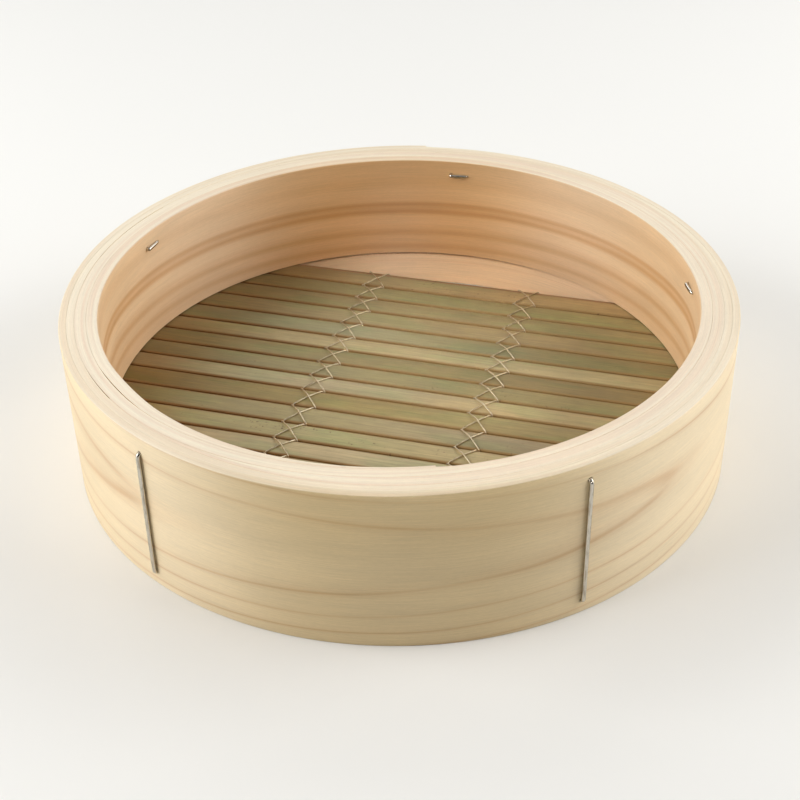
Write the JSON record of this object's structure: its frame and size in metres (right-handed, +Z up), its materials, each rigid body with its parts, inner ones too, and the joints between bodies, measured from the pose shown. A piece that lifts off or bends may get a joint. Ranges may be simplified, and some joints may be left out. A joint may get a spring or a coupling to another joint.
{
  "type": "steamer basket",
  "caption": "Round open steamer basket: a wall of coiled thin wood hoops sewn with wire staples, and a floor of bamboo slats lashed with wire to crossbars.",
  "frame": {"origin": "centre of the basket on the plane of its lower rim, which it stands on", "axes": "+Z up through the open top, +X along the slats, +Y across the slats along the crossbars"},
  "size_m": [0.2408, 0.2415, 0.0595],
  "materials": {
    "outer_hoop_wood": "unfinished planed softwood veneer, pale cream with tan grain lines",
    "lining_hoop_wood": "unfinished planed softwood veneer, pinkish tan with level grain bands",
    "support_hoop_wood": "unfinished planed softwood veneer, pinkish tan",
    "slat_bamboo": "split bamboo, olive to tan, dull, with fine fibres along its length",
    "crossbar_bamboo": "split bamboo, reddish brown, dull",
    "lashing_wire": "thin bright wire",
    "staple_wire": "drawn stainless wire"
  },
  "bodies": {
    "root": {"outer_hoop": "outer_hoop_wood", "lining_hoop": "lining_hoop_wood", "support_hoop": "support_hoop_wood", "slat_01": "slat_bamboo", "slat_02": "slat_bamboo", "slat_03": "slat_bamboo", "slat_04": "slat_bamboo", "slat_05": "slat_bamboo", "slat_06": "slat_bamboo", "slat_07": "slat_bamboo", "slat_08": "slat_bamboo", "slat_09": "slat_bamboo", "slat_10": "slat_bamboo", "slat_11": "slat_bamboo", "slat_12": "slat_bamboo", "slat_13": "slat_bamboo", "slat_14": "slat_bamboo", "slat_15": "slat_bamboo", "slat_16": "slat_bamboo", "crossbar_left": "crossbar_bamboo", "crossbar_right": "crossbar_bamboo", "lashing_left_a": "lashing_wire", "lashing_left_b": "lashing_wire", "lashing_right_a": "lashing_wire", "lashing_right_b": "lashing_wire", "staple_1": "staple_wire", "staple_2": "staple_wire", "staple_3": "staple_wire", "staple_4": "staple_wire", "staple_5": "staple_wire"}
  },
  "joints": []
}
